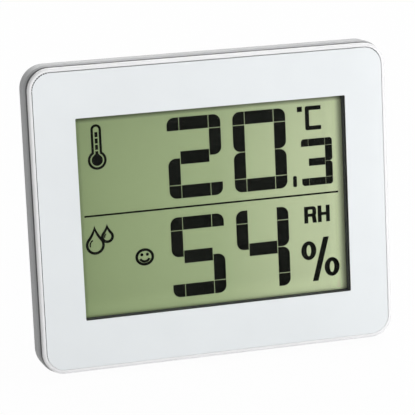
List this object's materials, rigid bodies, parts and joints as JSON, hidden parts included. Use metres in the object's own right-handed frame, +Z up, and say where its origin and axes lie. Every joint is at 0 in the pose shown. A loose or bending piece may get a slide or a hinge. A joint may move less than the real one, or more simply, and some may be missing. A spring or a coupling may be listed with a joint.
{
  "type": "temperature humidity sensor",
  "caption": "Flat desktop thermometer and hygrometer with a large segment display, folding stand, battery door and two rear buttons.",
  "frame": {"origin": "on the surface it stands on, under the middle of its box, with the stand open", "axes": "+X to the right seen from the front, +Y to the back, +Z up; the case leans back 8.42 degrees"},
  "size_m": [0.093, 0.0334, 0.0768],
  "materials": {
    "frame_white": "satin moulded plastic",
    "panel_white": "glossy white border film",
    "clear_lens": "clear polished lens",
    "gasket_dark": "matt dark gasket",
    "display_glass": "clear glass with polarizer",
    "figure_black": "dark display segment",
    "display_field": "green-grey reflective field",
    "reflector_film": "satin film",
    "holder_white": "natural moulded plastic",
    "foam_grey": "foam",
    "elastomer_pink": "layered elastomer",
    "board_green": "solder mask",
    "epoxy_black": "epoxy drop",
    "can_steel": "drawn can",
    "component_brown": "ceramic",
    "sensor_white": "moulded housing",
    "thermistor_black": "epoxy bead",
    "switch_black": "moulded body",
    "plunger_grey": "moulded plunger",
    "button_grey": "satin moulded plastic",
    "screw_steel": "zinc plated",
    "shell_grey": "fine textured plastic",
    "door_grey": "fine textured plastic",
    "stand_grey": "fine textured plastic",
    "cell_jacket": "printed jacket",
    "contact_nickel": "nickel plated strip",
    "spring_nickel": "nickel plated wire"
  },
  "bodies": {
    "case": {"front_frame": "frame_white", "front_overlay": "panel_white", "front_lens": "clear_lens", "display_gasket": "gasket_dark", "display_front_glass": "display_glass", "temperature_figures": "figure_black", "humidity_figures": "figure_black", "display_symbols": "figure_black", "display_rear_glass": "display_field", "display_reflector": "reflector_film", "display_holder": "holder_white", "display_pads": "foam_grey", "contact_strip": "elastomer_pink", "circuit_board": "board_green", "controller_chip": "epoxy_black", "clock_crystal": "can_steel", "board_components": "component_brown", "humidity_sensor": "sensor_white", "thermistor": "thermistor_black", "max_min_switch": "switch_black", "unit_switch": "switch_black", "board_screws": "screw_steel", "case_screws": "screw_steel", "rear_shell": "shell_grey", "battery_cell": "cell_jacket", "positive_contact": "contact_nickel", "negative_contact": "contact_nickel", "contact_spring": "spring_nickel"},
    "stand": {"stand": "stand_grey"},
    "battery_door": {"battery_door": "door_grey"},
    "max_min_key": {"max_min_button": "button_grey", "max_min_plunger": "plunger_grey"},
    "unit_key": {"unit_button": "button_grey", "unit_plunger": "plunger_grey"}
  },
  "joints": [
    {"name": "stand_fold", "type": "hinge", "parent": "case", "child": "stand", "pos_m": [0, 0.00677, 0.04207], "axis": [-1, 0, 0], "range_deg": [0, 20.7]},
    {"name": "battery_door_slide", "type": "slide", "parent": "case", "child": "battery_door", "axis": [0, 0.1464, 0.9892], "range_m": [0, 0.016]},
    {"name": "max_min_press", "type": "slide", "parent": "case", "child": "max_min_key", "axis": [0, -0.9892, 0.1464], "range_m": [0, 0.0003], "stiffness_N_per_m": 300},
    {"name": "unit_press", "type": "slide", "parent": "case", "child": "unit_key", "axis": [0, -0.9892, 0.1464], "range_m": [0, 0.0003], "stiffness_N_per_m": 300}
  ]
}
